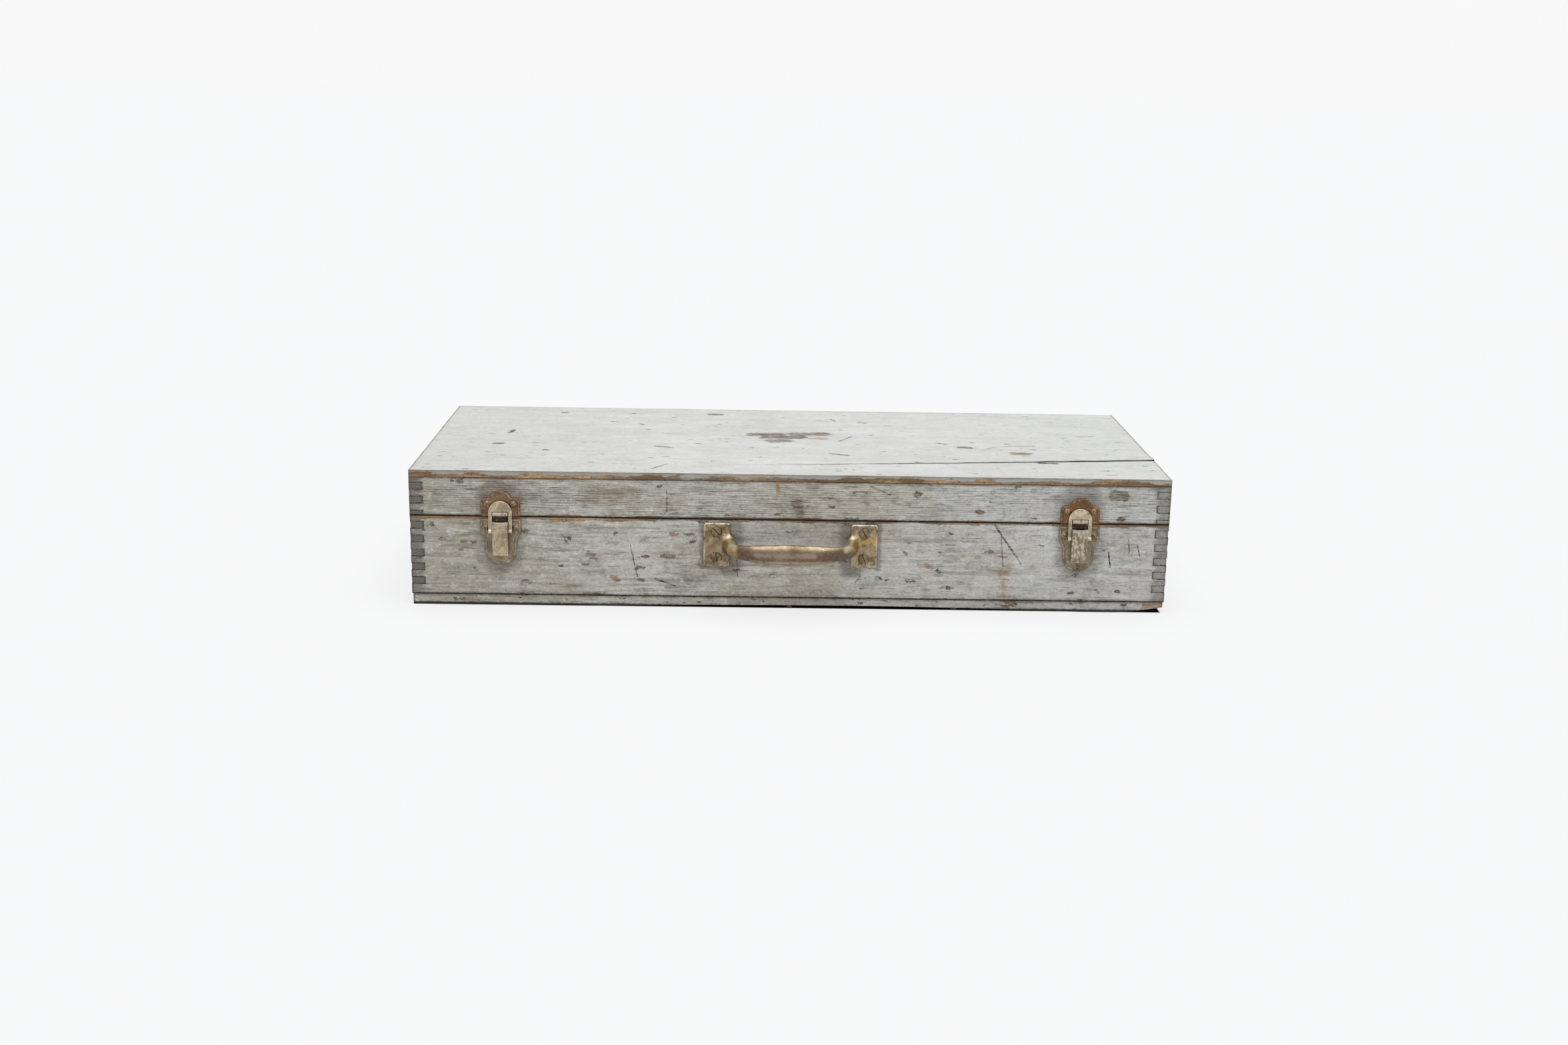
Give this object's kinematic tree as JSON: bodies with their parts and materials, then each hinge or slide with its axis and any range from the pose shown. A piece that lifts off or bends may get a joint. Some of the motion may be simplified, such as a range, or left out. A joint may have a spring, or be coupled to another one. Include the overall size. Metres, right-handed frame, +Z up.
{
  "type": "wooden tool box",
  "caption": "Flat wooden tool box with finger-jointed corners, a hinged lid, draw catches and a cast pull handle on the front.",
  "frame": {"origin": "middle of the underside of the bottom board, on the surface it stands on", "axes": "+X to the right seen from the front, +Y to the back, +Z up; the pull handle faces -Y"},
  "size_m": [0.66, 0.3321, 0.1207],
  "materials": {
    "painted_wood": "worn grey paint over softwood",
    "cast_bronze": "worn, tarnished casting",
    "plated_steel": "worn plating",
    "bronzed_steel": "browned plating",
    "screw_steel": "dull, slotted",
    "hinge_steel": "dull, worn"
  },
  "bodies": {
    "base": {"base_front_wall": "painted_wood", "base_back_wall": "painted_wood", "base_left_wall": "painted_wood", "base_right_wall": "painted_wood", "bottom_board": "painted_wood", "bottom_nails": "screw_steel", "handle": "cast_bronze", "handle_screws": "screw_steel", "catch_screws": "screw_steel", "left_catch_plate": "plated_steel", "left_catch_pivot_pin": "plated_steel", "right_catch_plate": "plated_steel", "right_catch_pivot_pin": "plated_steel", "left_hinge_base_leaf": "hinge_steel", "left_hinge_pin": "hinge_steel", "right_hinge_base_leaf": "hinge_steel", "right_hinge_pin": "hinge_steel", "hinge_base_screws": "screw_steel"},
    "lid": {"lid_front_wall": "painted_wood", "lid_back_wall": "painted_wood", "lid_left_wall": "painted_wood", "lid_right_wall": "painted_wood", "top_board": "painted_wood", "left_strike_plate": "bronzed_steel", "right_strike_plate": "bronzed_steel", "strike_screws": "screw_steel", "left_hinge_lid_leaf": "hinge_steel", "right_hinge_lid_leaf": "hinge_steel", "hinge_lid_screws": "screw_steel"},
    "left_lever": {"left_catch_lever": "plated_steel", "left_catch_bail_pin": "plated_steel"},
    "left_bail": {"left_catch_bail": "plated_steel"},
    "right_lever": {"right_catch_lever": "plated_steel", "right_catch_bail_pin": "plated_steel"},
    "right_bail": {"right_catch_bail": "plated_steel"}
  },
  "joints": [
    {"name": "lid_hinge", "type": "hinge", "parent": "base", "child": "lid", "pos_m": [0, 0.1463, 0.08045], "axis": [-1, 0, 0], "range_deg": [0, 180]},
    {"name": "left_lever_swing", "type": "hinge", "parent": "base", "child": "left_lever", "pos_m": [-0.2515, -0.14845, 0.0752], "axis": [-1, 0, 0], "range_deg": [0, 130]},
    {"name": "left_bail_swing", "type": "hinge", "parent": "left_lever", "child": "left_bail", "pos_m": [-0.2515, -0.147, 0.0679], "axis": [-1, 0, 0], "range_deg": [-162.5, 0]},
    {"name": "right_lever_swing", "type": "hinge", "parent": "base", "child": "right_lever", "pos_m": [0.2515, -0.14845, 0.0752], "axis": [-1, 0, 0], "range_deg": [0, 130]},
    {"name": "right_bail_swing", "type": "hinge", "parent": "right_lever", "child": "right_bail", "pos_m": [0.2515, -0.147, 0.0679], "axis": [-1, 0, 0], "range_deg": [-162.5, 0]}
  ],
  "couplings": [
    {"joint": "left_bail_swing", "follows": "left_lever_swing", "ratio": -1.25},
    {"joint": "right_bail_swing", "follows": "right_lever_swing", "ratio": -1.25}
  ]
}
